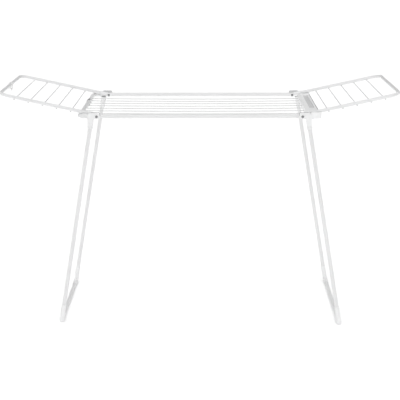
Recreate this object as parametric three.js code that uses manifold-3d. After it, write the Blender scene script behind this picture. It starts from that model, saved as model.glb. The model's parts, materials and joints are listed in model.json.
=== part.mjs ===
// Winged clothes drying rack: a flat main frame on two folding leg frames, with two folding wings.
// Millimetres, +Z up, floor at Z = 0, X along the wires, -Y is the front.
import * as THREE from 'three';
import { mergeVertices } from 'three/addons/utils/BufferGeometryUtils.js';
import Module from 'manifold-3d';

const wasm = await Module();
wasm.setup();

// Driving sizes.
const GAP = 0.3;                 // clearance between neighbouring pieces
const PIN_X = 440.5;             // hinge pins, left and right of the middle
const PIN_Z = 956;               // height of the hinge pins and of the main tubes
const PIN_R = 3;
const TUBE_R = 8.75;             // main frame and leg tubes
const RAIL_Y = 277;              // long tubes of the main frame, front and back
const END_X = 515.5;             // left end tube of the main frame
const BEND_R = 24;               // bend of the main tube at its left corners
const WIRE_R = 2;
const MAIN_WIRES = 7;
const MAIN_WIRE_STEP = 62.5;
const MAIN_WIRE_DROP = 4;        // the wires sit a little below the tube centres

const WING_TUBE_R = 7;
const WING_SLOPE = THREE.MathUtils.degToRad(12.3);
const WING_RISE = 2.9;           // wing tube centre above the hinge pin
const WING_Y = 260.9;            // wing side tubes
const WING_REACH = 427.5;        // hinge pin to the wing's end bar
const WING_BEND_R = 40;
const WING_WIRES = 5;
const WING_WIRE_STEP = 61.5;
const WING_WIRE_FIRST = 66;      // from the end bar to the first wire
const WING_EAR_R = 10.4;
const WING_SLEEVE_R = 8.6;

const LEG_SPLAY = THREE.MathUtils.degToRad(10);
const LEG_OFFSET = 23;           // leg tube centre line, outboard of the hinge pin
const LEG_Y = { right: 277, left: 254 };   // the left leg frame is narrower, to nest inside
const FOOT_BAR_Z = 12;           // centre of the foot bars above the floor
const SOCKET_R = 11;
const FOOT_R = 11.2;
const FOOT_BAR_SLEEVE = 58;      // how far a foot runs along the foot bar
const EAR_IN = 286.2;            // inner and outer faces of the bracket ears
const EAR_OUT = 290.0;

const CATCH_Y = 94;              // the foot bar catch sits between two wires

// The end tray: its reach in X and Y, and its heights from the main tube centres. The corner blocks
// start at corner and blockLow, and have a raised cheek beside the wing's side tube.
const TRAY = { inner: 462, outer: 522.5, corner: 477, side: 285.6, waist: 236, cheek: 269.8 };
const TRAY_Z = { low: -13.5, blockLow: -9.2, high: 9.3, cheekHigh: 17 };

// Materials.
const coated = new THREE.MeshStandardMaterial({ color: 0xf1f2f2, roughness: 0.42, metalness: 0.0 });
const moulded = new THREE.MeshStandardMaterial({ color: 0xeceded, roughness: 0.5, metalness: 0.0 });
const darkPlastic = new THREE.MeshStandardMaterial({ color: 0x707274, roughness: 0.5, metalness: 0.0 });
const pinSteel = new THREE.MeshStandardMaterial({ color: 0x6d6f72, roughness: 0.4, metalness: 0.9 });

const rack = new THREE.Group();
rack.name = 'drying_rack';

function place(name, geometry, material) {
  const mesh = new THREE.Mesh(geometry, material);
  mesh.name = name;
  rack.add(mesh);
}

// Solid modelling helpers.
function solid(geometry) {
  const bare = geometry.clone();
  bare.deleteAttribute('normal');
  bare.deleteAttribute('uv');
  const joined = mergeVertices(bare, 1e-4);
  return new wasm.Manifold(new wasm.Mesh({
    numProp: 3,
    vertProperties: new Float32Array(joined.attributes.position.array),
    triVerts: new Uint32Array(joined.index.array),
  }));
}

function shell(body) {
  const mesh = body.getMesh();
  const geometry = new THREE.BufferGeometry();
  geometry.setAttribute('position', new THREE.BufferAttribute(new Float32Array(mesh.vertProperties), 3));
  geometry.setIndex(new THREE.BufferAttribute(new Uint32Array(mesh.triVerts), 1));
  geometry.computeVertexNormals();
  return geometry;
}

function rod(start, end, radius, sides = 20, endRadius = radius) {
  const along = new THREE.Vector3().subVectors(end, start);
  const geometry = new THREE.CylinderGeometry(endRadius, radius, along.length(), sides);
  const turn = new THREE.Quaternion().setFromUnitVectors(
    new THREE.Vector3(0, 1, 0),
    along.clone().normalize(),
  );
  geometry.applyQuaternion(turn);
  const middle = start.clone().add(end).multiplyScalar(0.5);
  geometry.translate(middle.x, middle.y, middle.z);
  return geometry;
}

// A tube of the given radius round a quarter bend: it starts at centre + from and ends at centre + to.
class Bend extends THREE.Curve {
  constructor(centre, from, to) {
    super();
    this.centre = centre;
    this.from = from;
    this.to = to;
  }

  getPoint(t, target = new THREE.Vector3()) {
    const angle = t * Math.PI / 2;
    target.copy(this.centre);
    target.addScaledVector(this.from, Math.cos(angle));
    return target.addScaledVector(this.to, Math.sin(angle));
  }
}

function disc(radius, sides) {
  const outline = new THREE.Shape();
  for (let i = 0; i < sides; i += 1) {
    const angle = 2 * Math.PI * i / sides;
    const x = radius * Math.cos(angle);
    const y = radius * Math.sin(angle);
    if (i === 0) outline.moveTo(x, y);
    else outline.lineTo(x, y);
  }
  outline.closePath();
  return outline;
}

function elbow(centre, from, to, radius, steps = 6) {
  const path = new Bend(centre, from, to);
  return new THREE.ExtrudeGeometry(disc(radius, 18), {
    steps,
    extrudePath: path,
    curveSegments: 1,
    bevelEnabled: false,
  });
}

// An outline drawn in X and Z, given thickness in Y between two planes.
function slab(outline, lowY, highY) {
  const geometry = new THREE.ExtrudeGeometry(outline, {
    depth: highY - lowY,
    bevelEnabled: false,
    curveSegments: 8,
  });
  geometry.rotateX(Math.PI / 2);
  geometry.translate(0, highY, 0);
  return geometry;
}

function block(lowX, highX, lowY, highY, lowZ, highZ) {
  const geometry = new THREE.BoxGeometry(highX - lowX, highY - lowY, highZ - lowZ);
  geometry.translate((lowX + highX) / 2, (lowY + highY) / 2, (lowZ + highZ) / 2);
  return geometry;
}

const point = (x, y, z) => new THREE.Vector3(x, y, z);

function pinBore(side, end) {
  const inner = point(side * PIN_X, end * 235, PIN_Z);
  const outer = point(side * PIN_X, end * 300, PIN_Z);
  return solid(rod(inner, outer, PIN_R + GAP, 24));
}

// Main frame: two long tubes, an end tube with two bends on the left, a moulded tray on the right.
function mainRail(end) {
  const left = point(-(END_X - BEND_R) + GAP / 2, end * RAIL_Y, PIN_Z);
  const right = point(TRAY.corner - GAP, end * RAIL_Y, PIN_Z);
  let body = solid(rod(left, right, TUBE_R, 24));
  for (const side of [-1, 1]) {
    body = body.subtract(pinBore(side, end));
  }
  return shell(body);
}

function mainCorner(end) {
  const centre = point(-(END_X - BEND_R), end * (RAIL_Y - BEND_R), PIN_Z);
  const geometry = elbow(centre, point(0, end * BEND_R, 0), point(-BEND_R, 0, 0), TUBE_R);
  return geometry;
}

function endTube() {
  const reach = RAIL_Y - BEND_R - GAP / 2;
  return rod(point(-END_X, -reach, PIN_Z), point(-END_X, reach, PIN_Z), TUBE_R, 24);
}

function mainWireY(index) {
  return (index - (MAIN_WIRES - 1) / 2) * MAIN_WIRE_STEP;
}

// Each wire ends against the end tube on the left and in a blind hole of the tray on the right.
function mainWire(index) {
  const z = PIN_Z - MAIN_WIRE_DROP;
  const y = mainWireY(index);
  const wire = solid(rod(point(-END_X, y, z), point(TRAY.inner + 6, y, z), WIRE_R, 10));
  const tube = rod(point(-END_X, y - 20, PIN_Z), point(-END_X, y + 20, PIN_Z), TUBE_R + GAP, 24);
  return shell(wire.subtract(solid(tube)));
}

function roundedPlan() {
  const { corner, inner, outer, side, waist } = TRAY;
  const r = 22;
  const plan = new THREE.Shape();
  plan.moveTo(inner, -waist + 4);
  plan.lineTo(inner + 4, -waist);
  plan.lineTo(corner, -waist);
  plan.lineTo(corner, -side);
  plan.lineTo(outer - r, -side);
  plan.absarc(outer - r, -side + r, r, -Math.PI / 2, 0, false);
  plan.lineTo(outer, side - r);
  plan.absarc(outer - r, side - r, r, 0, Math.PI / 2, false);
  plan.lineTo(corner, side);
  plan.lineTo(corner, waist);
  plan.lineTo(inner + 4, waist);
  plan.lineTo(inner, waist - 4);
  plan.closePath();
  return plan;
}

function plate(low, high) {
  const geometry = new THREE.ExtrudeGeometry(roundedPlan(), {
    depth: high - low,
    bevelEnabled: false,
    curveSegments: 8,
  });
  geometry.translate(0, 0, PIN_Z + low);
  return solid(geometry);
}

// The raised cheek of a corner block, and the room under the block for the leg bracket.
function cheekAndUndercut(body, end) {
  const { corner, outer, side, waist, cheek } = TRAY;
  const inner = Math.min(end * cheek, end * (side + 5));
  const cheekRoom = block(corner, outer + 5, inner, inner + side + 5 - cheek, PIN_Z, PIN_Z + 40);
  const raised = plate(TRAY_Z.low, TRAY_Z.cheekHigh).intersect(solid(cheekRoom));
  const under = Math.min(end * (waist + 6), end * (side + 5));
  const depth = side - waist - 1;
  const undercut = block(corner - 5, outer + 5, under, under + depth, PIN_Z - 40, PIN_Z + TRAY_Z.blockLow);
  return body.add(raised).subtract(solid(undercut));
}

function endTray() {
  let body = plate(TRAY_Z.low, TRAY_Z.high);
  for (const end of [-1, 1]) {
    body = cheekAndUndercut(body, end);
  }
  // The long recess in the top, 24 wide and 330 long, nearer the back than the front.
  body = body.subtract(solid(block(484.5, 508.5, -126, 204, PIN_Z - 2, PIN_Z + 20)));
  // Blind holes for the ends of the wires.
  for (let i = 0; i < MAIN_WIRES; i += 1) {
    const y = mainWireY(i);
    const z = PIN_Z - MAIN_WIRE_DROP;
    body = body.subtract(solid(rod(point(450, y, z), point(TRAY.inner + 6 + GAP, y, z), WIRE_R + GAP, 10)));
  }
  // Sloping rests for the side tubes of the right wing.
  for (const end of [-1, 1]) {
    const rest = new THREE.Shape();
    const low = -WING_TUBE_R - GAP;
    const p = wingPoint(1, 20, 0, low);
    const q = wingPoint(1, 120, 0, low);
    rest.moveTo(p.x, p.z);
    rest.lineTo(q.x, q.z);
    rest.lineTo(p.x, q.z);
    rest.closePath();
    const lowY = Math.min(end * 252.5, end * 269.5);
    body = body.subtract(solid(slab(rest, lowY, lowY + 17)));
    // Room for the wing's hinge sleeve.
    const sleeveY = Math.min(end * 250.5, end * 269.5);
    const room = block(TRAY.corner - 5, 482, sleeveY, sleeveY + 19, PIN_Z - 20, PIN_Z + 20);
    body = body.subtract(solid(room));
  }
  return shell(body);
}

// The catch on the left end tube, which the foot bar of the right leg frame faces.
function footBarCatch() {
  const outline = new THREE.Shape();
  const r = TUBE_R + 0.15;
  const thick = 2.6;
  const low = PIN_Z - r - thick;
  const face = -END_X + 2;
  outline.absarc(-END_X, PIN_Z, r + thick, 1.9, -1.3, true);
  outline.lineTo(face, low - 8);
  outline.lineTo(face - 9, low - 8);
  outline.lineTo(face - 10, low - 5);
  outline.lineTo(face - 4, low - 5.4);
  outline.lineTo(face - 4, low - 0.5);
  outline.absarc(-END_X, PIN_Z, r + thick, -2, -2.4, true);
  outline.absarc(-END_X, PIN_Z, r, -2.4, 1.9, false);
  outline.closePath();
  return slab(outline, CATCH_Y - 8, CATCH_Y + 8);
}

function hingePin(side, end) {
  const heads = [
    [EAR_OUT + GAP, EAR_OUT + 2.4, 5],
    [WING_EAR_IN - GAP - 2.4, WING_EAR_IN - GAP, 5],
  ];
  const at = (y) => point(side * PIN_X, end * y, PIN_Z);
  let body = solid(rod(at(WING_EAR_IN - 1.4), at(EAR_OUT + 1.4), PIN_R, 24));
  for (const [low, high, radius] of heads) {
    body = body.add(solid(rod(at(low), at(high), radius, 24)));
  }
  return shell(body);
}

// Wings. A point is given by its distance s from the hinge pin, its Y, and its lift off the wing plane.
const WING_EAR_OUT = RAIL_Y - TUBE_R - GAP;
const WING_EAR_IN = WING_EAR_OUT - 6;

function wingPoint(side, s, y, lift) {
  const u = [Math.cos(WING_SLOPE), Math.sin(WING_SLOPE)];
  const rise = WING_RISE + lift;
  return point(side * (PIN_X + s * u[0] - rise * u[1]), y, PIN_Z + s * u[1] + rise * u[0]);
}

function wingRail(side, end) {
  const start = wingPoint(side, 14, end * WING_Y, 0);
  const stop = wingPoint(side, WING_REACH - WING_BEND_R - GAP / 2, end * WING_Y, 0);
  return rod(start, stop, WING_TUBE_R);
}

function wingCorner(side, end) {
  const centre = wingPoint(side, WING_REACH - WING_BEND_R, end * (WING_Y - WING_BEND_R), 0);
  const outward = wingPoint(side, WING_REACH, 0, 0).sub(wingPoint(side, WING_REACH - WING_BEND_R, 0, 0));
  return elbow(centre, point(0, end * WING_BEND_R, 0), outward, WING_TUBE_R, 8);
}

function wingEndBar(side) {
  const reach = WING_Y - WING_BEND_R - GAP / 2;
  return rod(wingPoint(side, WING_REACH, -reach, 0), wingPoint(side, WING_REACH, reach, 0), WING_TUBE_R);
}

function wingWire(side, index) {
  const s = WING_REACH - WING_WIRE_FIRST - index * WING_WIRE_STEP;
  const lift = -(WING_TUBE_R + WIRE_R + 0.15);
  const reach = WING_Y + 3;
  return rod(wingPoint(side, s, -reach, lift), wingPoint(side, s, reach, lift), WIRE_R, 10);
}

// The moulded hinge fitting: an ear on the pin and a sleeve round the end of the side tube.
function wingHinge(side, end) {
  const ear = rod(
    point(side * PIN_X, end * WING_EAR_IN, PIN_Z),
    point(side * PIN_X, end * WING_EAR_OUT, PIN_Z),
    WING_EAR_R,
    24,
  );
  const root = wingPoint(side, 5, end * WING_Y, 0);
  const tip = wingPoint(side, 40, end * WING_Y, 0);
  let sleeve = solid(rod(root, tip, WING_SLEEVE_R, 24));
  const clearance = rod(
    point(side * PIN_X, end * 200, PIN_Z),
    point(side * PIN_X, end * (WING_EAR_IN), PIN_Z),
    9.5,
    24,
  );
  sleeve = sleeve.subtract(solid(clearance));
  let body = solid(ear).add(sleeve);
  const outside = block(-900, 900, 0, 60, 800, 1100);
  outside.translate(0, end > 0 ? WING_EAR_OUT : -WING_EAR_OUT - 60, 0);
  body = body.subtract(solid(outside));
  const boreStart = wingPoint(side, 14 - GAP, end * WING_Y, 0);
  const boreStop = wingPoint(side, 60, end * WING_Y, 0);
  body = body.subtract(solid(rod(boreStart, boreStop, WING_TUBE_R + GAP, 20)));
  return shell(body.subtract(pinBore(side, end)));
}

// The hook that hangs on the left wing's end bar and holds both end bars together when folded.
const HOOK_WIDTH = 14;
const HOOK_BORE = WING_TUBE_R + GAP;
const HOOK_THICK = 3.2;
const HOOK_WRAP = 2.75;          // angle that the curl takes round the other bar
const HOOK_LENGTH = 26.2;        // ring centre to the centre of the curl

function hookOutline() {
  const outer = HOOK_BORE + HOOK_THICK;
  const curl = HOOK_BORE + 0.5;
  const outline = new THREE.Shape();
  outline.moveTo(outer, -HOOK_LENGTH);
  outline.lineTo(outer, 0);
  outline.absarc(0, 0, outer, 0, 1.5 * Math.PI, false);
  outline.absarc(curl - 2.6, -outer - 2.6, 2.6, Math.PI / 2, 0, true);
  outline.lineTo(curl, -HOOK_LENGTH);
  outline.absarc(0, -HOOK_LENGTH, curl, 0, -HOOK_WRAP, true);
  outline.absarc(0, -HOOK_LENGTH, outer, -HOOK_WRAP + 0.06, 0, false);
  outline.closePath();
  const bore = new THREE.Path();
  bore.absarc(0, 0, HOOK_BORE, 0, 2 * Math.PI, true);
  outline.holes.push(bore);
  return outline;
}

// Turning the hook this much brings its centre of mass under the bar, where it hangs.
function hookLean() {
  const body = solid(slab(hookOutline(), -HOOK_WIDTH / 2, HOOK_WIDTH / 2));
  let low = 0;
  let high = 0.6;
  for (let i = 0; i < 24; i += 1) {
    const lean = (low + high) / 2;
    const turned = body.rotate([0, THREE.MathUtils.radToDeg(lean), 0]);
    if (momentAboutX(turned) > 0) low = lean;
    else high = lean;
  }
  return (low + high) / 2;
}

function momentAboutX(body) {
  const mesh = body.getMesh();
  const v = mesh.vertProperties;
  const t = mesh.triVerts;
  let moment = 0;
  for (let i = 0; i < t.length; i += 3) {
    const a = point(v[3 * t[i]], v[3 * t[i] + 1], v[3 * t[i] + 2]);
    const b = point(v[3 * t[i + 1]], v[3 * t[i + 1] + 1], v[3 * t[i + 1] + 2]);
    const c = point(v[3 * t[i + 2]], v[3 * t[i + 2] + 1], v[3 * t[i + 2] + 2]);
    const volume = a.dot(b.cross(c)) / 6;
    moment += volume * (v[3 * t[i]] + v[3 * t[i + 1]] + v[3 * t[i + 2]]) / 4;
  }
  return moment;
}

function latchHook() {
  const geometry = slab(hookOutline(), -HOOK_WIDTH / 2, HOOK_WIDTH / 2);
  geometry.rotateY(hookLean());
  const bar = wingPoint(-1, WING_REACH, 0, 0);
  geometry.translate(bar.x, 0, bar.z);
  return geometry;
}

// Leg frames. A point is given by its offset n outboard of the pin, its distance t down the leg, and Y.
function legPoint(side, n, t, y) {
  const c = Math.cos(LEG_SPLAY);
  const s = Math.sin(LEG_SPLAY);
  return point(side * (PIN_X + n * c + t * s), y, PIN_Z + n * s - t * c);
}

const LEG_LENGTH = (PIN_Z + LEG_OFFSET * Math.sin(LEG_SPLAY) - FOOT_BAR_Z) / Math.cos(LEG_SPLAY);
const LEG_TOP = 22;
const TUBE_STOP = 12;            // the tubes stop this far short of the foot corner

function legTube(side, y) {
  const top = legPoint(side, LEG_OFFSET, LEG_TOP, y);
  const foot = legPoint(side, LEG_OFFSET, LEG_LENGTH - TUBE_STOP, y);
  return rod(top, foot, TUBE_R, 20);
}

function footBar(side, legY) {
  const reach = legY - TUBE_STOP;
  const a = legPoint(side, LEG_OFFSET, LEG_LENGTH, -reach);
  const b = legPoint(side, LEG_OFFSET, LEG_LENGTH, reach);
  return rod(a, b, TUBE_R, 20);
}

function earOutline(side) {
  const outline = new THREE.Shape();
  const x = (v) => side * (PIN_X + v);
  const arc = (cx, cz, r, from, to) => {
    for (let i = 0; i <= 6; i += 1) {
      const angle = THREE.MathUtils.degToRad(from + (to - from) * i / 6);
      outline.lineTo(x(cx + r * Math.cos(angle)), PIN_Z + cz + r * Math.sin(angle));
    }
  };
  outline.moveTo(x(-7.6), PIN_Z + 18.5);
  arc(24, 2.5, 16, 90, 0);
  const low = legPoint(side, LEG_OFFSET + SOCKET_R - 1, 44, 0);
  const lowInner = legPoint(side, LEG_OFFSET - SOCKET_R + 1, 44, 0);
  outline.lineTo(low.x, low.z);
  outline.lineTo(lowInner.x, lowInner.z);
  outline.lineTo(x(14.5), PIN_Z - 12);
  arc(-8.6, -4.6, 5, -90, -180);
  arc(-7.6, 12.5, 6, 180, 100);
  outline.closePath();
  return outline;
}

// The moulded bracket: an outer ear on the pin, a web under the main tube and a socket for the leg.
function legBracket(side, end, legY) {
  const near = end * (legY - SOCKET_R);
  const far = end * EAR_OUT;
  const inner = end * EAR_IN;
  let body = solid(slab(earOutline(side), Math.min(inner, far), Math.max(inner, far)));
  const web = new THREE.Shape();
  const corners = [[12.6, 8], [33.4, 4], [33.4, 36], [12.6, 36]].map(([n, t]) => legPoint(side, n, t, 0));
  web.moveTo(corners[0].x, corners[0].z);
  for (const corner of corners.slice(1)) {
    web.lineTo(corner.x, corner.z);
  }
  web.closePath();
  const webNear = end * legY;
  body = body.add(solid(slab(web, Math.min(webNear, far), Math.max(webNear, far))));
  const top = legPoint(side, LEG_OFFSET, 2, end * legY);
  const bottom = legPoint(side, LEG_OFFSET, 62, end * legY);
  body = body.add(solid(rod(top, bottom, SOCKET_R, 24)));
  const low = Math.min(near - end * 30, inner);
  const high = Math.max(near - end * 30, inner);
  body = body.subtract(solid(block(-900, 900, low, high, PIN_Z - TUBE_R - 0.8, PIN_Z + 60)));
  const boreTop = legPoint(side, LEG_OFFSET, LEG_TOP - GAP, end * legY);
  const boreEnd = legPoint(side, LEG_OFFSET, 80, end * legY);
  body = body.subtract(solid(rod(boreTop, boreEnd, TUBE_R + GAP, 20)));
  return shell(body.subtract(pinBore(side, end)));
}

// The moulded foot: a sleeve up the leg, a shorter one along the foot bar and a flat sole.
function foot(side, end, legY) {
  const y = end * legY;
  const corner = legPoint(side, LEG_OFFSET, LEG_LENGTH, y);
  const ankle = legPoint(side, LEG_OFFSET, LEG_LENGTH - 72, y);
  const barEnd = corner.clone();
  barEnd.y = end * (legY - FOOT_BAR_SLEEVE);
  let body = solid(rod(ankle, corner, FOOT_R, 20));
  body = body.add(solid(rod(barEnd, corner, FOOT_R, 20)));
  const ball = new THREE.SphereGeometry(FOOT_R, 20, 10);
  ball.translate(corner.x, corner.y, corner.z);
  body = body.add(solid(ball));
  const out = corner.x + side * 13;
  const into = corner.x - side * 15;
  const soleLow = Math.min(end * (legY - 30), end * (legY + 9));
  const sole = block(Math.min(out, into), Math.max(out, into), soleLow, soleLow + 39, 0, 8);
  body = body.add(solid(sole));
  const legEnd = legPoint(side, LEG_OFFSET, LEG_LENGTH - TUBE_STOP + GAP, y);
  const above = legPoint(side, LEG_OFFSET, LEG_LENGTH - 120, y);
  body = body.subtract(solid(rod(above, legEnd, TUBE_R + GAP, 20)));
  const barStop = corner.clone();
  barStop.y = end * (legY - TUBE_STOP + GAP);
  const beyond = corner.clone();
  beyond.y = end * (legY - 90);
  body = body.subtract(solid(rod(beyond, barStop, TUBE_R + GAP, 20)));
  return shell(body);
}

// Assembly.
const ENDS = { front: -1, back: 1 };
const SIDES = { left: -1, right: 1 };

for (const [endName, end] of Object.entries(ENDS)) {
  place(`main_rail_${endName}`, mainRail(end), coated);
  place(`main_corner_${endName}`, mainCorner(end), coated);
}
place('main_end_tube', endTube(), coated);
place('end_tray', endTray(), moulded);
place('foot_bar_catch', footBarCatch(), darkPlastic);
for (let i = 0; i < MAIN_WIRES; i += 1) {
  place(`main_wire_${i + 1}`, mainWire(i), coated);
}

for (const [sideName, side] of Object.entries(SIDES)) {
  const legY = LEG_Y[sideName];
  for (const [endName, end] of Object.entries(ENDS)) {
    const tag = `${sideName}_${endName}`;
    place(`pin_${tag}`, hingePin(side, end), pinSteel);
    place(`wing_rail_${tag}`, wingRail(side, end), coated);
    place(`wing_corner_${tag}`, wingCorner(side, end), coated);
    place(`wing_hinge_${tag}`, wingHinge(side, end), moulded);
    place(`leg_${tag}`, legTube(side, end * legY), coated);
    place(`leg_bracket_${tag}`, legBracket(side, end, legY), moulded);
    place(`foot_${tag}`, foot(side, end, legY), moulded);
  }
  place(`wing_end_bar_${sideName}`, wingEndBar(side), coated);
  for (let i = 0; i < WING_WIRES; i += 1) {
    place(`wing_wire_${sideName}_${i + 1}`, wingWire(side, i), coated);
  }
  place(`foot_bar_${sideName}`, footBar(side, legY), coated);
}
place('latch_hook', latchHook(), moulded);

export default rack;
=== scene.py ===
import json
import math

import bmesh
import bpy
from mathutils import Matrix, Vector


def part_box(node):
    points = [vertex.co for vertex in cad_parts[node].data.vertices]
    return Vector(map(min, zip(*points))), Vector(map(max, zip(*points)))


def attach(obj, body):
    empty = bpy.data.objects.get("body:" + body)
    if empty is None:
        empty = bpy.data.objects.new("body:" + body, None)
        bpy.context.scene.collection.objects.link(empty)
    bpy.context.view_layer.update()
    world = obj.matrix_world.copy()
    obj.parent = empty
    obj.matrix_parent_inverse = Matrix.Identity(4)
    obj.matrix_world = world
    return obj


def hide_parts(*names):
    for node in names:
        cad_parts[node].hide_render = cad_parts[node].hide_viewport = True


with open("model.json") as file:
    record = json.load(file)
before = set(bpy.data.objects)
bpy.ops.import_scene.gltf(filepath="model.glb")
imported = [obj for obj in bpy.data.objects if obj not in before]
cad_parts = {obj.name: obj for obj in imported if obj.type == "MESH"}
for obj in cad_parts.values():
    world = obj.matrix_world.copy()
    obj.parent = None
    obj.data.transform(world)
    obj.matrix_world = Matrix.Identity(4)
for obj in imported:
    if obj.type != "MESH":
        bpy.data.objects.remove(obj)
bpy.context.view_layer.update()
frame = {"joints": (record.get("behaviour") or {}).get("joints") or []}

MM = 0.001
JOINTS = {joint["name"]: joint for joint in frame["joints"]}
SIDES = {"left": -1, "right": 1}
ENDS = {"front": -1, "back": 1}

# Sizes taken from the frame.
PIN_X = JOINTS["right_wing_fold"]["pos_m"][0]
PIN_Z = JOINTS["right_wing_fold"]["pos_m"][2]
BAR_X = JOINTS["hook_swing"]["pos_m"][0]
BAR_Z = JOINTS["hook_swing"]["pos_m"][2]


def middle(node):
    low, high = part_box(node)
    return (low + high) / 2


def size(node):
    low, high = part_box(node)
    return high - low


TUBE_R = size("main_end_tube").z / 2
RAIL_Y = middle("main_rail_back").y
END_X = middle("main_end_tube").x
BEND_R = size("main_corner_back").x - TUBE_R
WING_TUBE_R = size("wing_end_bar_left").z / 2
WING_Y = middle("wing_rail_right_back").y
WIRE_R = size("main_wire_4").y / 2
LEG_Y = {side: middle(f"leg_{side}_back").y for side in SIDES}
FOOT_X = middle("foot_bar_right").x
FOOT_Z = middle("foot_bar_right").z
EAR_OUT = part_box("leg_bracket_right_back")[1].y
WING_EAR_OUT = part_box("wing_hinge_right_back")[1].y
TRAY_LOW, TRAY_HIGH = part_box("end_tray")

MAIN_WIRES = 7
WING_WIRES = 5
PIN_HOLE_R = 3.2 * MM
TUBE_FIT = 0.15 * MM             # play between a tube and the moulding round it

# The end tray: heights from the pin line, and its reach in X and Y.
TRAY_TOP = 9.3 * MM
BLOCK_DROP = 9.2 * MM
TRAY_WAIST = 236 * MM
TRAY_CORNER = 477 * MM
CHEEK_Y = 269.8 * MM
RECESS_LOW = Vector((484.5, -126, 0)) * MM
RECESS_HIGH = Vector((508.5, 204, 0)) * MM
RECESS_FLOOR = PIN_Z - 2 * MM
# Top of the grey pad in the recess, which is painted shade.
SHADE_PAD_TOP = PIN_Z + 5.5 * MM
# Where the groove and its grey strip of painted shade lie along the tray's outer edge.
SHADE_STRIP_X = 516.2 * MM
GROOVE_WIDTH = 3.4 * MM
GROOVE_DEPTH = 2.2 * MM

SPLAY = math.radians(10)
SLOPE = math.radians(12.3)
HOOK_LEAN = math.radians(12.31)
LEG_OFFSET = 23 * MM             # leg tube centre line, outboard of the pin
WING_RISE = 2.9 * MM             # wing tube centre above the pin
WING_TUBE_START = 14 * MM        # the wing tube begins inside its fitting
WING_REACH = ((-BAR_X - PIN_X) + WING_RISE * math.sin(SLOPE)) / math.cos(SLOPE)
LEG_LENGTH = (PIN_Z + LEG_OFFSET * math.sin(SPLAY) - FOOT_Z) / math.cos(SPLAY)
EAR_THICK = 3.8 * MM

PAST = 10 * MM                   # how far a cutter runs past what it cuts


# ---------------------------------------------------------------- modelling helpers

def deselect():
    if bpy.context.object and bpy.context.object.mode != "OBJECT":
        bpy.ops.object.mode_set(mode="OBJECT")
    bpy.ops.object.select_all(action="DESELECT")


def work_on(piece, mode="OBJECT"):
    """Makes one piece selected and active, in edit mode if asked."""
    deselect()
    piece.select_set(True)
    bpy.context.view_layer.objects.active = piece
    if mode == "EDIT":
        bpy.ops.object.mode_set(mode="EDIT")


def pick(piece, kind, wanted):
    """In edit mode, selects the edges or faces that pass a test of their middle and direction."""
    bpy.ops.mesh.select_mode(type=kind)
    bpy.ops.mesh.select_all(action="DESELECT")
    mesh = bmesh.from_edit_mesh(piece.data)
    for item in mesh.edges if kind == "EDGE" else mesh.faces:
        if kind == "EDGE":
            a, b = item.verts
            chosen = wanted((a.co + b.co) / 2, (b.co - a.co).normalized())
        else:
            chosen = wanted(item.calc_center_median(), item.normal)
        item.select_set(chosen)
    bmesh.update_edit_mesh(piece.data)


def mm(x, y, z):
    """A point given in millimetres."""
    return Vector((x, y, z)) * MM


def profile(*stations):
    """Stations of a turned piece, given in millimetres."""
    return [(distance * MM, radius * MM) for distance, radius in stations]


def corners():
    """The four corners of the rack, as names and as signs of X and Y."""
    for side_name, side in SIDES.items():
        for end_name, end in ENDS.items():
            yield side_name, side, end_name, end


def span(end, inner, outer):
    """The lower and upper Y of a stretch measured outwards on one side."""
    return sorted((end * inner, end * outer))


def settle(piece):
    """Puts the piece's place, turn and scale into its mesh."""
    work_on(piece)
    bpy.ops.object.transform_apply(location=True, rotation=True, scale=True)


def upright(at, direction):
    """True for an edge that runs along Z."""
    return abs(direction.z) > 0.9


def crosswise(at, direction):
    """True for an edge that runs along Y."""
    return abs(direction.y) > 0.9


def disc(name, centre, facing, radius, sides=28):
    """A filled disc, left selected in edit mode, ready to be drawn out into a tube."""
    deselect()
    turn = Vector(facing).to_track_quat("Z", "Y").to_euler()
    bpy.ops.mesh.primitive_circle_add(
        vertices=sides, radius=radius, fill_type="NGON", location=centre, rotation=turn
    )
    piece = bpy.context.object
    piece.name = name
    bpy.ops.object.transform_apply(location=True, rotation=True, scale=True)
    bpy.ops.object.mode_set(mode="EDIT")
    bpy.ops.mesh.select_mode(type="FACE")
    bpy.ops.mesh.select_all(action="SELECT")
    return piece


def draw_out(step):
    """Extrudes the selected end of a piece by a step."""
    bpy.ops.mesh.extrude_region_move(TRANSFORM_OT_translate={"value": tuple(step)})


def swell(amount, centre):
    """Scales what is selected about a centre."""
    bpy.ops.transform.resize(value=(amount,) * 3, center_override=tuple(centre))


def bend(angle, centre, axis, steps=10):
    """Draws the selected end round a bend, right-handed about the axis."""
    bpy.ops.mesh.spin(steps=steps, angle=-angle, center=tuple(centre), axis=tuple(axis))


def close_up(piece):
    """Leaves edit mode with a closed, outward-facing mesh."""
    bpy.ops.mesh.select_all(action="SELECT")
    bpy.ops.mesh.remove_doubles(threshold=1e-6)
    bpy.ops.mesh.normals_make_consistent(inside=False)
    bpy.ops.object.mode_set(mode="OBJECT")
    return piece


def turned(name, start, along, stations, sides=28):
    """A round piece: at each station, a distance along the axis and the radius there."""
    along = Vector(along).normalized()
    start = Vector(start)
    first, radius = stations[0]
    piece = disc(name, start + along * first, along, radius, sides)
    at = first
    for distance, wanted in stations[1:]:
        draw_out(along * (distance - at))
        swell(wanted / radius, start + along * distance)
        at, radius = distance, wanted
    return close_up(piece)


def brick(name, low, high):
    """A block between two corners, the stock from which moulded pieces are cut."""
    deselect()
    low, high = Vector(low), Vector(high)
    bpy.ops.mesh.primitive_cube_add(size=1, location=(low + high) / 2, scale=high - low)
    piece = bpy.context.object
    piece.name = name
    bpy.ops.object.transform_apply(location=True, rotation=True, scale=True)
    return piece


def round_edges(piece, wanted, radius, segments):
    """Rounds the edges that pass the test."""
    work_on(piece, "EDIT")
    pick(piece, "EDGE", wanted)
    bpy.ops.mesh.bevel(offset=radius, segments=segments, affect="EDGES")
    bpy.ops.object.mode_set(mode="OBJECT")


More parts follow.
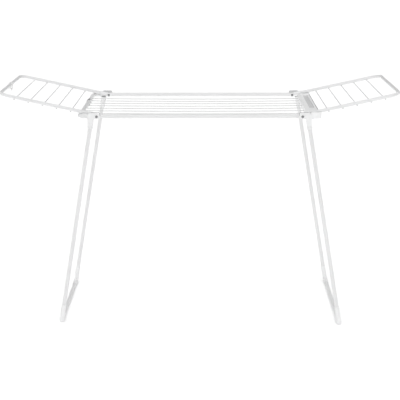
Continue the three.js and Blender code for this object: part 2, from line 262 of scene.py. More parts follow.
def apply(piece, kind, **settings):
    """Adds a modifier with its settings and applies it."""
    work_on(piece)
    modifier = piece.modifiers.new(kind.title(), kind)
    for key, value in settings.items():
        setattr(modifier, key, value)
    bpy.ops.object.modifier_apply(modifier=modifier.name)


def soften(piece, width, segments=3):
    """Rounds every sharp edge of the piece."""
    angle = math.radians(50)
    apply(piece, "BEVEL", width=width, segments=segments, limit_method="ANGLE", angle_limit=angle)


def combine(piece, others, operation):
    """Joins the others to the piece, or cuts them from it, and uses them up."""
    for other in others:
        apply(piece, "BOOLEAN", object=other, operation=operation, solver="EXACT")
        bpy.data.objects.remove(other)


def turn_about(piece, angle, axis):
    """Turns a piece about the origin."""
    piece.matrix_world = Matrix.Rotation(angle, 4, axis) @ piece.matrix_world
    settle(piece)


def mould(piece, grain, rounds):
    """Melts joined shapes into one skin with small fillets, as a moulding has."""
    apply(piece, "REMESH", mode="VOXEL", voxel_size=grain, use_smooth_shade=True)
    apply(piece, "SMOOTH", factor=0.5, iterations=rounds)
    work_on(piece)
    bpy.ops.object.shade_smooth()


def copy_to(model, name, matrix):
    """Its own mesh, placed by the matrix; a mirrored copy has its faces turned out again."""
    deselect()
    piece = model.copy()
    piece.data = model.data.copy()
    piece.name = name
    bpy.context.scene.collection.objects.link(piece)
    piece.matrix_world = matrix
    settle(piece)
    if matrix.determinant() < 0:
        bpy.ops.object.mode_set(mode="EDIT")
        bpy.ops.mesh.select_all(action="SELECT")
        bpy.ops.mesh.normals_make_consistent(inside=False)
        bpy.ops.object.mode_set(mode="OBJECT")
    return piece


def smooth(piece, degrees=40):
    """Shades smooth across edges flatter than the angle."""
    work_on(piece)
    bpy.ops.object.shade_smooth_by_angle(angle=math.radians(degrees))


def finish_piece(piece, body, material, nodes=()):
    """Gives a piece its material, the body it rides on and the CAD nodes it stands for."""
    piece.data.materials.clear()
    piece.data.materials.append(material)
    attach(piece, body)
    if nodes:
        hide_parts(*nodes)


def leg_point(side, n, t, y):
    """A point of a leg: n outwards from the pin line, t down the leg."""
    c, s = math.cos(SPLAY), math.sin(SPLAY)
    return Vector((side * (PIN_X + n * c + t * s), y, PIN_Z + n * s - t * c))


def wing_point(side, s, y, lift=0.0):
    """A point of a wing's tube line: s outwards from the pin, lift above the line."""
    c, q = math.cos(SLOPE), math.sin(SLOPE)
    rise = WING_RISE + lift
    return Vector((side * (PIN_X + s * c - rise * q), y, PIN_Z + s * q + rise * c))


# ---------------------------------------------------------------- materials

def shader(name, colour, roughness):
    """A new material, with its node tree and its Principled node."""
    material = bpy.data.materials.new(name)
    material.use_nodes = True
    principled = material.node_tree.nodes["Principled BSDF"]
    principled.inputs["Base Color"].default_value = (*colour, 1)
    principled.inputs["Roughness"].default_value = roughness
    return material, material.node_tree, principled


def noise(tree, scale, detail, stretch=None):
    """Noise on the object's own coordinates, with its scale in cycles per metre."""
    place = tree.nodes.new("ShaderNodeTexCoord")
    grain = tree.nodes.new("ShaderNodeTexNoise")
    grain.inputs["Scale"].default_value = scale
    grain.inputs["Detail"].default_value = detail
    source = place.outputs["Object"]
    if stretch:
        mapping = tree.nodes.new("ShaderNodeMapping")
        mapping.inputs["Scale"].default_value = stretch
        tree.links.new(source, mapping.inputs["Vector"])
        source = mapping.outputs["Vector"]
    tree.links.new(source, grain.inputs["Vector"])
    return grain.outputs["Fac"]


def ramp(tree, source, stops):
    """Turns noise into a range of colours or of plain values."""
    node = tree.nodes.new("ShaderNodeValToRGB")
    while len(node.color_ramp.elements) < len(stops):
        node.color_ramp.elements.new(0.5)
    for element, (place, colour) in zip(node.color_ramp.elements, stops):
        element.position = place
        shade = colour if isinstance(colour, tuple) else (colour,) * 3
        element.color = (*shade, 1)
    tree.links.new(source, node.inputs["Fac"])
    return node.outputs["Color"]


def relief(tree, principled, heights):
    """Bumps laid one on another: each is a height and the depth it works to, in metres."""
    below = None
    for height, depth in heights:
        bump = tree.nodes.new("ShaderNodeBump")
        bump.inputs["Distance"].default_value = depth
        bump.inputs["Strength"].default_value = 1.0
        tree.links.new(height, bump.inputs["Height"])
        if below:
            tree.links.new(below, bump.inputs["Normal"])
        below = bump.outputs["Normal"]
    tree.links.new(below, principled.inputs["Normal"])


def powder_coat(name, light, dark):
    """Stoved polyester powder: faint orange peel, a slight unevenness of shade and gloss."""
    material, tree, principled = shader(name, light, 0.38)
    tree.links.new(ramp(tree, noise(tree, 9, 4), [(0.3, dark), (0.7, light)]),
                   principled.inputs["Base Color"])
    tree.links.new(ramp(tree, noise(tree, 160, 3), [(0.35, 0.30), (0.75, 0.46)]),
                   principled.inputs["Roughness"])
    relief(tree, principled, [(noise(tree, 620, 1.5), 0.00006), (noise(tree, 2600, 1), 0.00001)])
    principled.inputs["Coat Weight"].default_value = 0.12
    principled.inputs["Coat Roughness"].default_value = 0.25
    return material


def moulded_plastic(name, light, dark):
    """Injection-moulded polypropylene: fine spark-eroded grain and soft flow shading."""
    material, tree, principled = shader(name, light, 0.5)
    tree.links.new(ramp(tree, noise(tree, 22, 3), [(0.3, dark), (0.7, light)]),
                   principled.inputs["Base Color"])
    tree.links.new(ramp(tree, noise(tree, 900, 2), [(0.3, 0.42), (0.7, 0.56)]),
                   principled.inputs["Roughness"])
    relief(tree, principled, [(noise(tree, 1900, 2), 0.00003), (noise(tree, 70, 2), 0.00005)])
    principled.inputs["Subsurface Weight"].default_value = 0.06
    principled.inputs["Subsurface Radius"].default_value = (0.003, 0.003, 0.003)
    return material


def pin_steel():
    """Burnished rivet steel with fine turning marks."""
    material, tree, principled = shader("burnished_steel", (0.16, 0.165, 0.17), 0.38)
    tones = [(0.3, (0.20, 0.203, 0.208)), (0.7, (0.32, 0.325, 0.33))]
    tree.links.new(ramp(tree, noise(tree, 340, 3), tones), principled.inputs["Base Color"])
    tree.links.new(ramp(tree, noise(tree, 700, 2), [(0.3, 0.3), (0.7, 0.5)]),
                   principled.inputs["Roughness"])
    relief(tree, principled, [(noise(tree, 1500, 2, stretch=(1, 0.1, 1)), 0.00004)])
    principled.inputs["Metallic"].default_value = 0.85
    return material


def sole_rubber():
    """Pale thermoplastic rubber with a dull, slightly dusty skin."""
    material, tree, principled = shader("sole_rubber", (0.78, 0.785, 0.78), 0.7)
    tones = [(0.3, (0.72, 0.725, 0.72)), (0.7, (0.80, 0.805, 0.80))]
    tree.links.new(ramp(tree, noise(tree, 60, 4), tones), principled.inputs["Base Color"])
    tree.links.new(ramp(tree, noise(tree, 500, 2), [(0.3, 0.62), (0.7, 0.8)]),
                   principled.inputs["Roughness"])
    relief(tree, principled, [(noise(tree, 1200, 2), 0.00006)])
    return material


COAT = powder_coat("powder_coat_white", (0.84, 0.842, 0.844), (0.81, 0.812, 0.814))
# The same white coat made greyer on the wires as painted shade, so the thin wires read as grey lines.
WIRE_COAT_PAINTED_SHADE = powder_coat("powder_coat_wires", (0.71, 0.712, 0.714), (0.68, 0.682, 0.684))
PLASTIC = moulded_plastic("moulded_plastic_white", (0.905, 0.907, 0.909), (0.88, 0.882, 0.884))
STEEL = pin_steel()
RUBBER = sole_rubber()
TRAY_PLASTIC = moulded_plastic("moulded_plastic_bright", (0.95, 0.952, 0.954), (0.925, 0.927, 0.929))
# Grey painted shade for the pad in the recess, standing in for the shade there.
RECESS_SHADE_GREY = moulded_plastic("moulded_plastic_grey", (0.70, 0.702, 0.705), (0.665, 0.667, 0.67))
# Pale grey painted shade for the plates behind the back ears, standing in for the shade round those ears.
BACK_EAR_SHADE_GREY = moulded_plastic("moulded_plastic_pale_grey", (0.76, 0.762, 0.765), (0.725, 0.727, 0.73))
# Mid grey painted shade for the strip along the tray's outer edge, standing in for the shaded edge.
EDGE_SHADE_GREY = moulded_plastic("moulded_plastic_mid_grey", (0.36, 0.362, 0.365), (0.33, 0.332, 0.335))
# Dark grey painted shade: it stands for the shadow gap round the front ears and the shadow at the clip on
# the end tube.
PAINTED_SHADE_DARK = moulded_plastic("moulded_plastic_dark", (0.145, 0.147, 0.15), (0.115, 0.117, 0.12))
# Which painted shade goes in the plate behind the ears at each end: dark at the front, pale grey at the
# back.
EAR_PAINTED_SHADE = {"front": PAINTED_SHADE_DARK, "back": BACK_EAR_SHADE_GREY}


# ---------------------------------------------------------------- main frame

def main_tube():
    """One tube from the tray along the front, round the left end and back along the back."""
    start = Vector((TRAY_CORNER + 1 * MM, -RAIL_Y, PIN_Z))
    piece = disc("main_tube", start, (-1, 0, 0), TUBE_R, 32)
    turn_x = END_X + BEND_R
    draw_out((turn_x - start.x, 0, 0))
    bend(-math.pi / 2, (turn_x, -RAIL_Y + BEND_R, PIN_Z), (0, 0, 1))
    draw_out((0, 2 * (RAIL_Y - BEND_R), 0))
    bend(-math.pi / 2, (turn_x, RAIL_Y - BEND_R, PIN_Z), (0, 0, 1))
    draw_out((start.x - turn_x, 0, 0))
    close_up(piece)
    smooth(piece)
    nodes = ["main_rail_front", "main_rail_back", "main_corner_front", "main_corner_back", "main_end_tube"]
    finish_piece(piece, "main_frame", COAT, nodes)


def main_wire_model():
    """A drawn wire that sags a little, with a weld bead at its left end."""
    first = middle("main_wire_1")
    left = END_X + TUBE_R * 0.93
    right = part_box("main_wire_4")[1].x
    sag = 3 * MM
    steps = 24
    bead = profile((0, 3.4), (1.2, 3.2), (2.6, 2.5), (4.5, 2.0))
    bead_length, wire_radius = bead[-1]
    stations = [(left + along, radius) for along, radius in bead]
    run = right - left - bead_length
    for i in range(1, steps + 1):
        stations.append((left + bead_length + run * i / steps, wire_radius))
    x, radius = stations[0]
    piece = disc("main_wire", (left, first.y, first.z), (1, 0, 0), radius, 14)

    def drop(at):
        share = (at - left) / (right - left)
        return -4 * sag * share * (1 - share)

    for at, wanted in stations[1:]:
        draw_out((at - x, 0, drop(at) - drop(x)))
        swell(wanted / radius, (at, first.y, first.z + drop(at)))
        x, radius = at, wanted
    close_up(piece)
    smooth(piece, 60)
    return piece


def main_wires():
    """One wire is made and copied across the frame."""
    model = main_wire_model()
    for number in range(1, MAIN_WIRES + 1):
        shift = middle(f"main_wire_{number}").y - middle("main_wire_1").y
        wire = copy_to(model, f"hanging_wire_{number}", Matrix.Translation((0, shift, 0)))
        finish_piece(wire, "main_frame", WIRE_COAT_PAINTED_SHADE, [f"main_wire_{number}"])
    bpy.data.objects.remove(model)


def tray_block(end):
    """A corner block that holds the end of a long tube, with a raised cheek outside the wing."""
    high, top = TRAY_HIGH, PIN_Z + TRAY_TOP
    near, far = span(end, TRAY_WAIST - 8 * MM, high.y)
    block = brick("block", (TRAY_CORNER, near, PIN_Z - BLOCK_DROP), (high.x, far, high.z))

    def outer_corner(at, direction):
        return upright(at, direction) and at.x > high.x - 1 * MM and end * at.y > CHEEK_Y

    round_edges(block, outer_corner, 21 * MM, 12)
    near, far = span(end, 150 * MM, CHEEK_Y)
    room = brick("room", (TRAY_CORNER - PAST, near, top), (high.x + PAST, far, high.z + PAST))
    combine(block, [room], "DIFFERENCE")
    soften(block, 7.5 * MM, 8)
    return block


def wing_rest(end):
    """A cutter for the sloping rest under a side tube of the right wing."""
    cutter = brick("rest", mm(20, -8.5, 0), mm(110, 8.5, 50))
    turn_about(cutter, -SLOPE, "Y")
    seat = wing_point(1, 0, end * WING_Y, -WING_TUBE_R - 0.3 * MM)
    cutter.matrix_world = Matrix.Translation(seat)
    settle(cutter)
    return cutter


def sleeve_room(end):
    """A cutter for the place of the wing fitting's sleeve."""
    near, far = span(end, 250.5 * MM, 269.5 * MM)
    low = (TRAY_CORNER - PAST, near, PIN_Z - 3 * PAST)
    return brick("sleeve_room", low, (482 * MM, far, PIN_Z + 3 * PAST))


def end_tray():
    """The moulded end piece: a long trough with a recess, and corner blocks with raised cheeks."""
    low, high, top = TRAY_LOW, TRAY_HIGH, PIN_Z + TRAY_TOP
    waist = TRAY_WAIST + 1 * MM
    body = brick("end_tray_moulding", (low.x, -waist, low.z), (high.x, waist, top))
    round_edges(body, lambda at, d: crosswise(at, d) and at.x > high.x - 1 * MM, 6 * MM, 8)
    combine(body, [tray_block(end) for end in ENDS.values()], "UNION")
    recess = brick("recess", (RECESS_LOW.x, RECESS_LOW.y, RECESS_FLOOR),
                   (RECESS_HIGH.x, RECESS_HIGH.y, high.z + 2 * PAST))
    round_edges(recess, upright, 4 * MM, 6)
    groove = brick("groove", (SHADE_STRIP_X, -TRAY_WAIST, top - GROOVE_DEPTH),
                   (SHADE_STRIP_X + GROOVE_WIDTH, TRAY_WAIST, top + 2 * PAST))
    cutters = [recess, groove]
    for end in ENDS.values():
        cutters += [wing_rest(end), sleeve_room(end)]
    combine(body, cutters, "DIFFERENCE")
    soften(body, 1.0 * MM)
    smooth(body, 35)
    finish_piece(body, "main_frame", TRAY_PLASTIC, ["end_tray"])


def tray_shade_pieces():
    """The grey pad in the recess and the grey strip let into the outer edge of the tray: painted shade,
    standing in for the shade in the recess and along the outer edge.
    """
    gap = 0.4 * MM
    shade_pad = brick("recess_mat", (RECESS_LOW.x + gap, RECESS_LOW.y + gap, RECESS_FLOOR),
                (RECESS_HIGH.x - gap, RECESS_HIGH.y - gap, SHADE_PAD_TOP))
    round_edges(shade_pad, upright, 3.8 * MM, 6)
    round_edges(shade_pad, lambda at, d: at.z > SHADE_PAD_TOP - 0.5 * MM, 0.8 * MM, 3)
    smooth(shade_pad, 35)
    finish_piece(shade_pad, "main_frame", RECESS_SHADE_GREY)
    top = PIN_Z + TRAY_TOP
    play = 0.1 * MM
    shade_strip = brick("edge_strip", (SHADE_STRIP_X + play, -TRAY_WAIST + gap, top - GROOVE_DEPTH),
                  (SHADE_STRIP_X + GROOVE_WIDTH - play, TRAY_WAIST - gap, top + 0.6 * MM))
    round_edges(shade_strip, lambda at, d: crosswise(at, d) and at.z > top, 1.1 * MM, 4)
    smooth(shade_strip, 35)
    finish_piece(shade_strip, "main_frame", EDGE_SHADE_GREY)


def foot_bar_catch():
    """A spring clip on the end tube, in dark grey as painted shade: a split ring with a short stem and a
    finger under it.
    """
    y, width = middle("foot_bar_catch").y, size("foot_bar_catch").y
    front, back = y - width / 2, y + width / 2
    at = Vector((END_X, front, PIN_Z))
    outer, inner = TUBE_R + 1.9 * MM, TUBE_R + 0.1 * MM
    low = PIN_Z - outer
    clip = turned("foot_bar_clip", at, (0, 1, 0), [(0, outer), (width, outer)], 40)
    stem = brick("stem", (END_X - 2 * MM, front, low - 8 * MM), (END_X + 2 * MM, back, low + 3 * MM))
    finger = brick("finger", (END_X - 8 * MM, front, low - 8 * MM), (END_X, back, low - 5 * MM))
    combine(clip, [stem, finger], "UNION")
    hole = turned("hole", at, (0, 1, 0), [(-PAST, inner), (width + PAST, inner)], 40)
    mouth = brick("mouth", (END_X + 2 * MM, y - 2 * PAST, PIN_Z - 4 * MM),
                  (END_X + 3 * PAST, y + 2 * PAST, PIN_Z + 9 * MM))
    combine(clip, [hole, mouth], "DIFFERENCE")
    mould(clip, 0.5 * MM, 3)
    finish_piece(clip, "main_frame", PAINTED_SHADE_DARK, ["foot_bar_catch"])


def hinge_pins():
    """Rivets with a low domed head outside and a flat one inside."""
    low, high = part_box("pin_right_back")
    length = high.y - low.y
    head = profile((0, 2.2), (0.3, 3.9), (0.9, 4.8), (2.2, 5.0), (2.4, 3.0))
    dome = profile((2.1, 3.0), (2.0, 5.6), (1.2, 5.7), (0.55, 4.9), (0.15, 3.0), (0, 1.0))
    stations = head + [(length - from_end, radius) for from_end, radius in dome]
    model = turned("pin", (PIN_X, low.y, PIN_Z), (0, 1, 0), stations, 32)
    smooth(model, 50)
    for side_name, side, end_name, end in corners():
        pin = copy_to(model, f"rivet_{side_name}_{end_name}", Matrix.Diagonal((side, end, 1, 1)))
        finish_piece(pin, "main_frame", STEEL, [f"pin_{side_name}_{end_name}"])
    bpy.data.objects.remove(model)


# ---------------------------------------------------------------- wings

def wing_tube(side_name, side):
    """A thin tube bent into a U, from one hinge fitting round the tip to the other."""
    radius = size(f"wing_corner_{side_name}_back").y - WING_TUBE_R
    outward = (wing_point(side, 1, 0) - wing_point(side, 0, 0)).normalized()
    across = Vector((0, 1, 0))
    square = outward.cross(across)
    run = WING_REACH - radius - WING_TUBE_START
    start = wing_point(side, WING_TUBE_START, -WING_Y)
    piece = disc(f"wing_tube_{side_name}", start, outward, WING_TUBE_R, 28)
    draw_out(outward * run)
    bend(math.pi / 2, wing_point(side, WING_REACH - radius, -WING_Y + radius), square, 12)
    draw_out(across * 2 * (WING_Y - radius))
    bend(math.pi / 2, wing_point(side, WING_REACH - radius, WING_Y - radius), square, 12)
    draw_out(-outward * run)
    close_up(piece)
    smooth(piece)
    nodes = [f"wing_end_bar_{side_name}"]
    for end_name in ENDS:
        nodes += [f"wing_rail_{side_name}_{end_name}", f"wing_corner_{side_name}_{end_name}"]
    finish_piece(piece, f"{side_name}_wing", COAT, nodes)


def wing_wires(side_name, side):
    """Wires welded under the side tubes: the ends spread into the weld and round off."""
    low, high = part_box(f"wing_wire_{side_name}_1")
    centre = (low + high) / 2
    reach = high.y + 1.5 * MM
    steps = 12
    bead = profile((0, 0.9), (0.7, 2.1), (1.8, 2.9), (4.0, 3.0), (6.2, 2.5), (8.5, 2.0))
    bead_length = bead[-1][0]
    run = 2 * (reach - bead_length)
    stations = bead + [(bead_length + run * i / steps, WIRE_R) for i in range(1, steps)]
    stations += [(2 * reach - along, radius) for along, radius in reversed(bead)]
    model = turned("wing_wire", (centre.x, -reach, centre.z), (0, 1, 0), stations, 14)
    smooth(model, 60)
    for number in range(1, WING_WIRES + 1):
        node = f"wing_wire_{side_name}_{number}"
        place = Matrix.Translation(middle(node) - centre)
        wire = copy_to(model, f"cross_wire_{side_name}_{number}", place)
        finish_piece(wire, f"{side_name}_wing", WIRE_COAT_PAINTED_SHADE, [node])
    bpy.data.objects.remove(model)


def wing_fitting():
    """A thick round ear on the pin, run out into a sleeve for the side tube."""
    ear_profile = profile((0, 9.6), (0.8, 10.4), (5.2, 10.4), (6, 9.6))
    ear = turned("wing_fitting", (0, 0, 0), (0, 1, 0), ear_profile, 40)
    along = Vector((math.cos(SLOPE), 0, math.sin(SLOPE)))
    up = Vector((-math.sin(SLOPE), 0, math.cos(SLOPE)))
    root = up * WING_RISE + Vector((0, WING_EAR_OUT - WING_Y, 0))
    sleeve_profile = profile((4, 7.4), (10, 8.6), (33, 8.5), (34, 9.0), (39, 9.0), (40, 8.4))
    sleeve = turned("sleeve", root, along, sleeve_profile, 32)
    near_pin = turned("near_pin", mm(0, 6, 0), (0, 1, 0), profile((0, 9.5), (30, 9.5)), 32)
    combine(sleeve, [near_pin], "DIFFERENCE")
    combine(ear, [sleeve], "UNION")
    outside = brick("outside", mm(-50, -30, -50), mm(80, 0, 80))
    tube_room = WING_TUBE_R + TUBE_FIT
    bore = turned("bore", root, along, [(WING_TUBE_START, tube_room), (60 * MM, tube_room)], 28)
    hole = turned("hole", mm(0, -10, 0), (0, 1, 0), [(0, PIN_HOLE_R), (40 * MM, PIN_HOLE_R)], 24)
    combine(ear, [outside, bore, hole], "DIFFERENCE")
    mould(ear, 0.5 * MM, 3)
    return ear


def wing_hinges():
    """The four moulded fittings between the wings and the pins."""
    model = wing_fitting()
    for side_name, side, end_name, end in corners():
        place = Matrix.Translation((side * PIN_X, end * WING_EAR_OUT, PIN_Z))
        place = place @ Matrix.Diagonal((side, -end, 1, 1))
        piece = copy_to(model, f"wing_fitting_{side_name}_{end_name}", place)
        node = f"wing_hinge_{side_name}_{end_name}"
        finish_piece(piece, f"{side_name}_wing", PLASTIC, [node])
    bpy.data.objects.remove(model)


def hook_shank(thick, width, length, start):
    """The flat part of the hook: straight down, then curled round."""
    deselect()
    bpy.ops.mesh.primitive_plane_add(size=1, location=(start + thick / 2, 0, 0))
    shank = bpy.context.object
    shank.scale = (thick, width, 1)
    settle(shank)
    work_on(shank, "EDIT")
    bpy.ops.mesh.select_mode(type="FACE")
    bpy.ops.mesh.select_all(action="SELECT")
    draw_out((0, 0, -length))
    bend(math.radians(-157), (0, 0, -length), (0, 1, 0), 20)
    close_up(shank)
    soften(shank, 0.7 * MM)
    return shank


def latch_hook():
    """A strap turned into a ring round the end bar, with a straight shank and a curl below."""
    thick, width, length = 3.2 * MM, 14 * MM, 26.2 * MM
    lap = 0.5 * MM
    edge = 0.8 * MM
    bore = WING_TUBE_R + 0.3 * MM
    outer = bore + thick
    ring_profile = [(0, outer - edge), (edge, outer), (width - edge, outer), (width, outer - edge)]
    ring = turned("latch_hook_strap", (0, -width / 2, 0), (0, 1, 0), ring_profile, 48)
    combine(ring, [hook_shank(thick - lap, width, length, bore + lap)], "UNION")
    hole = turned("hole", mm(0, -20, 0), (0, 1, 0), [(0, bore), (40 * MM, bore)], 48)
    combine(ring, [hole], "DIFFERENCE")
    smooth(ring, 35)
    ring.matrix_world = Matrix.Translation((BAR_X, 0, BAR_Z)) @ Matrix.Rotation(HOOK_LEAN, 4, "Y")
    settle(ring)
    finish_piece(ring, "latch_hook", PLASTIC, ["latch_hook"])


# ---------------------------------------------------------------- leg frames

def in_leg(piece):
    """Turns a piece made upright so that its own -Z runs down the leg."""
    turn_about(piece, -SPLAY, "Y")


def bracket_socket(depth):
    """The collared socket of a bracket, along the leg tube."""
    socket_profile = profile((5, 10.4), (20, 11), (54, 10.9), (55.5, 11.5), (60.5, 11.5), (61.6, 10.9))
    socket = turned("socket", (LEG_OFFSET, depth, 0), (0, 0, -1), socket_profile, 40)
    in_leg(socket)
    return socket


def leg_bracket(depth):
    """The bracket at its pin, outer face at y = 0, made for the right front corner; y runs inwards."""
    thick = EAR_THICK / MM
    ear = brick("leg_bracket", mm(-13.6, 0, -9.6), mm(40, thick, 17.5))
    round_edges(ear, lambda at, d: crosswise(at, d) and at.z > 0 and at.x > 0, 16 * MM, 10)
    round_edges(ear, lambda at, d: crosswise(at, d) and at.z > 0 and at.x < 0, 6 * MM, 8)
    round_edges(ear, lambda at, d: crosswise(at, d) and at.z < 0 and at.x < 0, 5 * MM, 8)
    shoulder = brick("shoulder", mm(24, 0, -37), mm(40, thick, 2))
    tongue = brick("tongue", mm(13, 0, -46), mm(33.4, thick, -6))
    in_leg(tongue)
    web = brick("web", mm(12.6, 0.5, -36), (33.4 * MM, depth, -6 * MM))
    in_leg(web)
    combine(ear, [shoulder, tongue, web, bracket_socket(depth)], "UNION")
    rail_room = brick("rail_room", mm(-100, thick, -9.55), mm(100, 100, 50))
    tube_room = TUBE_R + TUBE_FIT
    bore_profile = [(22 * MM, tube_room), (80 * MM, tube_room)]
    bore = turned("bore", (LEG_OFFSET, depth, 0), (0, 0, -1), bore_profile, 36)
    in_leg(bore)
    hole = turned("hole", mm(0, -10, 0), (0, 1, 0), [(0, PIN_HOLE_R), (40 * MM, PIN_HOLE_R)], 24)
    beyond = brick("beyond", mm(-100, -50, -100), mm(100, 0, 50))
    combine(ear, [rail_room, bore, hole, beyond], "DIFFERENCE")
    mould(ear, 0.6 * MM, 3)
    return ear


def ear_liner():
    """A thin dark plate behind the ear, showing as a fine line above and beside it: painted shadow,
    standing in for the shadow gap round the ear.
    """
    plate = brick("ear_liner", mm(-14.4, 2.9, 4.2), mm(34, 4.05, 18.4))
    upper = 10 * MM
    round_edges(plate, lambda at, d: crosswise(at, d) and at.z > upper and at.x > 0, 13 * MM, 10)
    round_edges(plate, lambda at, d: crosswise(at, d) and at.z > upper and at.x < 0, 6.5 * MM, 8)
    smooth(plate, 30)
    return plate


def leg_brackets():
    """Each bracket and its painted-shadow plate, at the four corners."""
    shadow_plate = ear_liner()
    models = {side_name: leg_bracket(EAR_OUT - LEG_Y[side_name]) for side_name in SIDES}
    for side_name, side, end_name, end in corners():
        place = Matrix.Translation((side * PIN_X, end * EAR_OUT, PIN_Z))
        place = place @ Matrix.Diagonal((side, -end, 1, 1))
        body = f"{side_name}_leg_frame"
        piece = copy_to(models[side_name], f"bracket_{side_name}_{end_name}", place)
        node = f"leg_bracket_{side_name}_{end_name}"
        finish_piece(piece, body, PLASTIC, [node])
        # The thin plate behind the ear is painted shadow, seen as a dark line round the ear.
        plate = copy_to(shadow_plate, f"ear_liner_{side_name}_{end_name}", place)
        finish_piece(plate, body, EAR_PAINTED_SHADE[end_name])
    for model in [shadow_plate, *models.values()]:
        bpy.data.objects.remove(model)


def tube_profile(length, between):
    """A straight tube with eased ends, and stations between them at the given distances."""
    eased, end = 8 * MM, 0.8 * MM
    inner = [(at, TUBE_R) for at in (end, *between, length - end)]
    return [(0, eased), *inner, (length, eased)]


def leg_tubes(side_name, side):
    """The leg frame's tubes: the front leg, the back leg and the bar along the floor."""
    body = f"{side_name}_leg_frame"
    for end_name, end in ENDS.items():
        y = end * LEG_Y[side_name]
        top = leg_point(side, LEG_OFFSET, 22 * MM, y)
        foot = leg_point(side, LEG_OFFSET, LEG_LENGTH - 12 * MM, y)
        length = (foot - top).length
        stations = tube_profile(length, (length * 0.33, length * 0.66))
        piece = turned(f"leg_tube_{side_name}_{end_name}", top, foot - top, stations, 32)
        smooth(piece)
        finish_piece(piece, body, COAT, [f"leg_{side_name}_{end_name}"])
    reach = size(f"foot_bar_{side_name}").y / 2
    start = Vector((side * FOOT_X, -reach, FOOT_Z))
    bar = turned(f"floor_bar_{side_name}", start, (0, 1, 0), tube_profile(2 * reach, (reach,)), 32)
    smooth(bar)
    finish_piece(bar, body, COAT, [f"foot_bar_{side_name}"])


def foot_moulding():
    """A moulded elbow over a bottom corner, with a collar at each mouth and a flat base."""
    up = Vector((-math.sin(SPLAY), 0, math.cos(SPLAY)))
    leg_sleeve = profile((-2, 10.0), (10, 10.9), (34, 11.0), (66, 10.4), (67, 11.0), (71, 11.0), (72, 10.4))
    foot = turned("foot", (0, 0, 0), up, leg_sleeve, 40)
    bar_sleeve = profile((0, 11.2), (52, 10.5), (53, 11.1), (57, 11.1), (58, 10.5))
    along = turned("along", (0, 0, 0), (0, 1, 0), bar_sleeve, 40)
    deselect()
    bpy.ops.mesh.primitive_uv_sphere_add(segments=32, ring_count=16, radius=10.9 * MM)
    knuckle = bpy.context.object
    base = brick("base", (-10 * MM, -8.5 * MM, -FOOT_Z + 1.6 * MM), mm(9, 30, -2))
    round_edges(base, upright, 8.5 * MM, 10)
    combine(foot, [along, knuckle, base], "UNION")
    bore = [(12 * MM, TUBE_R + TUBE_FIT), (90 * MM, TUBE_R + TUBE_FIT)]
    leg_bore = turned("leg_bore", (0, 0, 0), up, bore, 36)
    bar_bore = turned("bar_bore", (0, 0, 0), (0, 1, 0), bore, 36)
    floor = brick("floor", mm(-50, -50, -50), (50 * MM, 50 * MM, -FOOT_Z + 0.8 * MM))
    combine(foot, [leg_bore, bar_bore, floor], "DIFFERENCE")
    mould(foot, 0.6 * MM, 4)
    return foot


def foot_sole():
    """A soft pad under the base of a foot."""
    sole = brick("sole", (-9.2 * MM, -7.6 * MM, -FOOT_Z), (8.2 * MM, 28.5 * MM, -FOOT_Z + 2.4 * MM))
    round_edges(sole, upright, 7.8 * MM, 10)
    soften(sole, 0.6 * MM, 2)
    smooth(sole, 40)
    return sole


def feet():
    """The four feet and their soles."""
    foot, sole = foot_moulding(), foot_sole()
    for side_name, side, end_name, end in corners():
        place = Matrix.Translation((side * FOOT_X, end * LEG_Y[side_name], FOOT_Z))
        place = place @ Matrix.Diagonal((side, -end, 1, 1))
        body = f"{side_name}_leg_frame"
        piece = copy_to(foot, f"foot_moulding_{side_name}_{end_name}", place)
        finish_piece(piece, body, PLASTIC, [f"foot_{side_name}_{end_name}"])
        pad = copy_to(sole, f"sole_{side_name}_{end_name}", place)
        finish_piece(pad, body, RUBBER)
    bpy.data.objects.remove(foot)
    bpy.data.objects.remove(sole)


# ---------------------------------------------------------------- studio

# The camera: where it stands, its angles in radians, and its lens.
CAMERA_AT = Vector((0.03437, -4.4713, 1.7615))
PITCH, YAW, ROLL = 0.27384, -0.00789, -0.0018
LENS, SENSOR = 89.4276, 36       # millimetres

FLOOR_RADIUS = 60
WORLD_LIGHT = 0.22
# Each sun: its turn in degrees, its strength, and how soft it is in degrees.
SUNS = {
    "floor_wash": ((0, 0, 0), 0.9, 80),
    "overhead": ((0, 0, 0), 1.3, 80),
    "front": ((60, 0, -3), 0.8, 60),
    "from_right": ((0, 68, 0), 0.42, 60),
    "from_left": ((0, -68, 0), 0.42, 60),
}


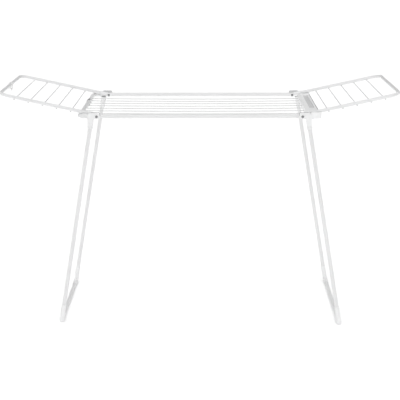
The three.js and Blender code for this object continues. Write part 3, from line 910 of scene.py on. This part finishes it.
def camera():
    """A long lens in front of the rack and above it, looking a little down."""
    forward = Vector((math.sin(YAW) * math.cos(PITCH), math.cos(YAW) * math.cos(PITCH), -math.sin(PITCH)))
    level = Vector((math.cos(YAW), -math.sin(YAW), 0))
    above = level.cross(forward)
    right = level * math.cos(ROLL) + above * math.sin(ROLL)
    up = above * math.cos(ROLL) - level * math.sin(ROLL)
    bpy.ops.object.camera_add(location=CAMERA_AT)
    view = bpy.context.object
    matrix = Matrix((right, up, -forward)).transposed().to_4x4()
    matrix.translation = CAMERA_AT
    view.matrix_world = matrix
    view.data.sensor_width = SENSOR
    view.data.lens = LENS
    view.data.clip_end = 200
    bpy.context.scene.camera = view


def studio_floor():
    """A very wide pale floor."""
    deselect()
    bpy.ops.mesh.primitive_circle_add(vertices=64, radius=FLOOR_RADIUS, fill_type="NGON")
    floor = bpy.context.object
    floor.name = "studio_floor"
    material, tree, principled = shader("studio_floor", (0.95, 0.95, 0.95), 0.8)
    shade = ramp(tree, noise(tree, 3, 2), [(0.3, 0.945), (0.7, 0.955)])
    tree.links.new(shade, principled.inputs["Base Color"])
    principled.inputs["Specular IOR Level"].default_value = 0.1
    floor.data.materials.append(material)
    return floor


def studio():
    """Floor, even surroundings and soft suns; one sun lights the floor alone."""
    floor = studio_floor()
    world = bpy.data.worlds.new("studio")
    world.use_nodes = True
    background = world.node_tree.nodes["Background"]
    background.inputs["Color"].default_value = (1, 1, 1, 1)
    background.inputs["Strength"].default_value = WORLD_LIGHT
    bpy.context.scene.world = world
    only_floor = bpy.data.collections.new("only_floor")
    only_floor.objects.link(floor)
    for name, (angles, strength, softness) in SUNS.items():
        bpy.ops.object.light_add(type="SUN", rotation=[math.radians(angle) for angle in angles])
        lamp = bpy.context.object
        lamp.name = name
        lamp.data.energy = strength
        lamp.data.angle = math.radians(softness)
        if name == "floor_wash":
            lamp.light_linking.receiver_collection = only_floor
    bpy.context.scene.view_settings.view_transform = "Standard"


main_tube()
main_wires()
end_tray()
tray_shade_pieces()
foot_bar_catch()
hinge_pins()
for side_name, side in SIDES.items():
    wing_tube(side_name, side)
    wing_wires(side_name, side)
    leg_tubes(side_name, side)
wing_hinges()
latch_hook()
leg_brackets()
feet()
camera()
studio()
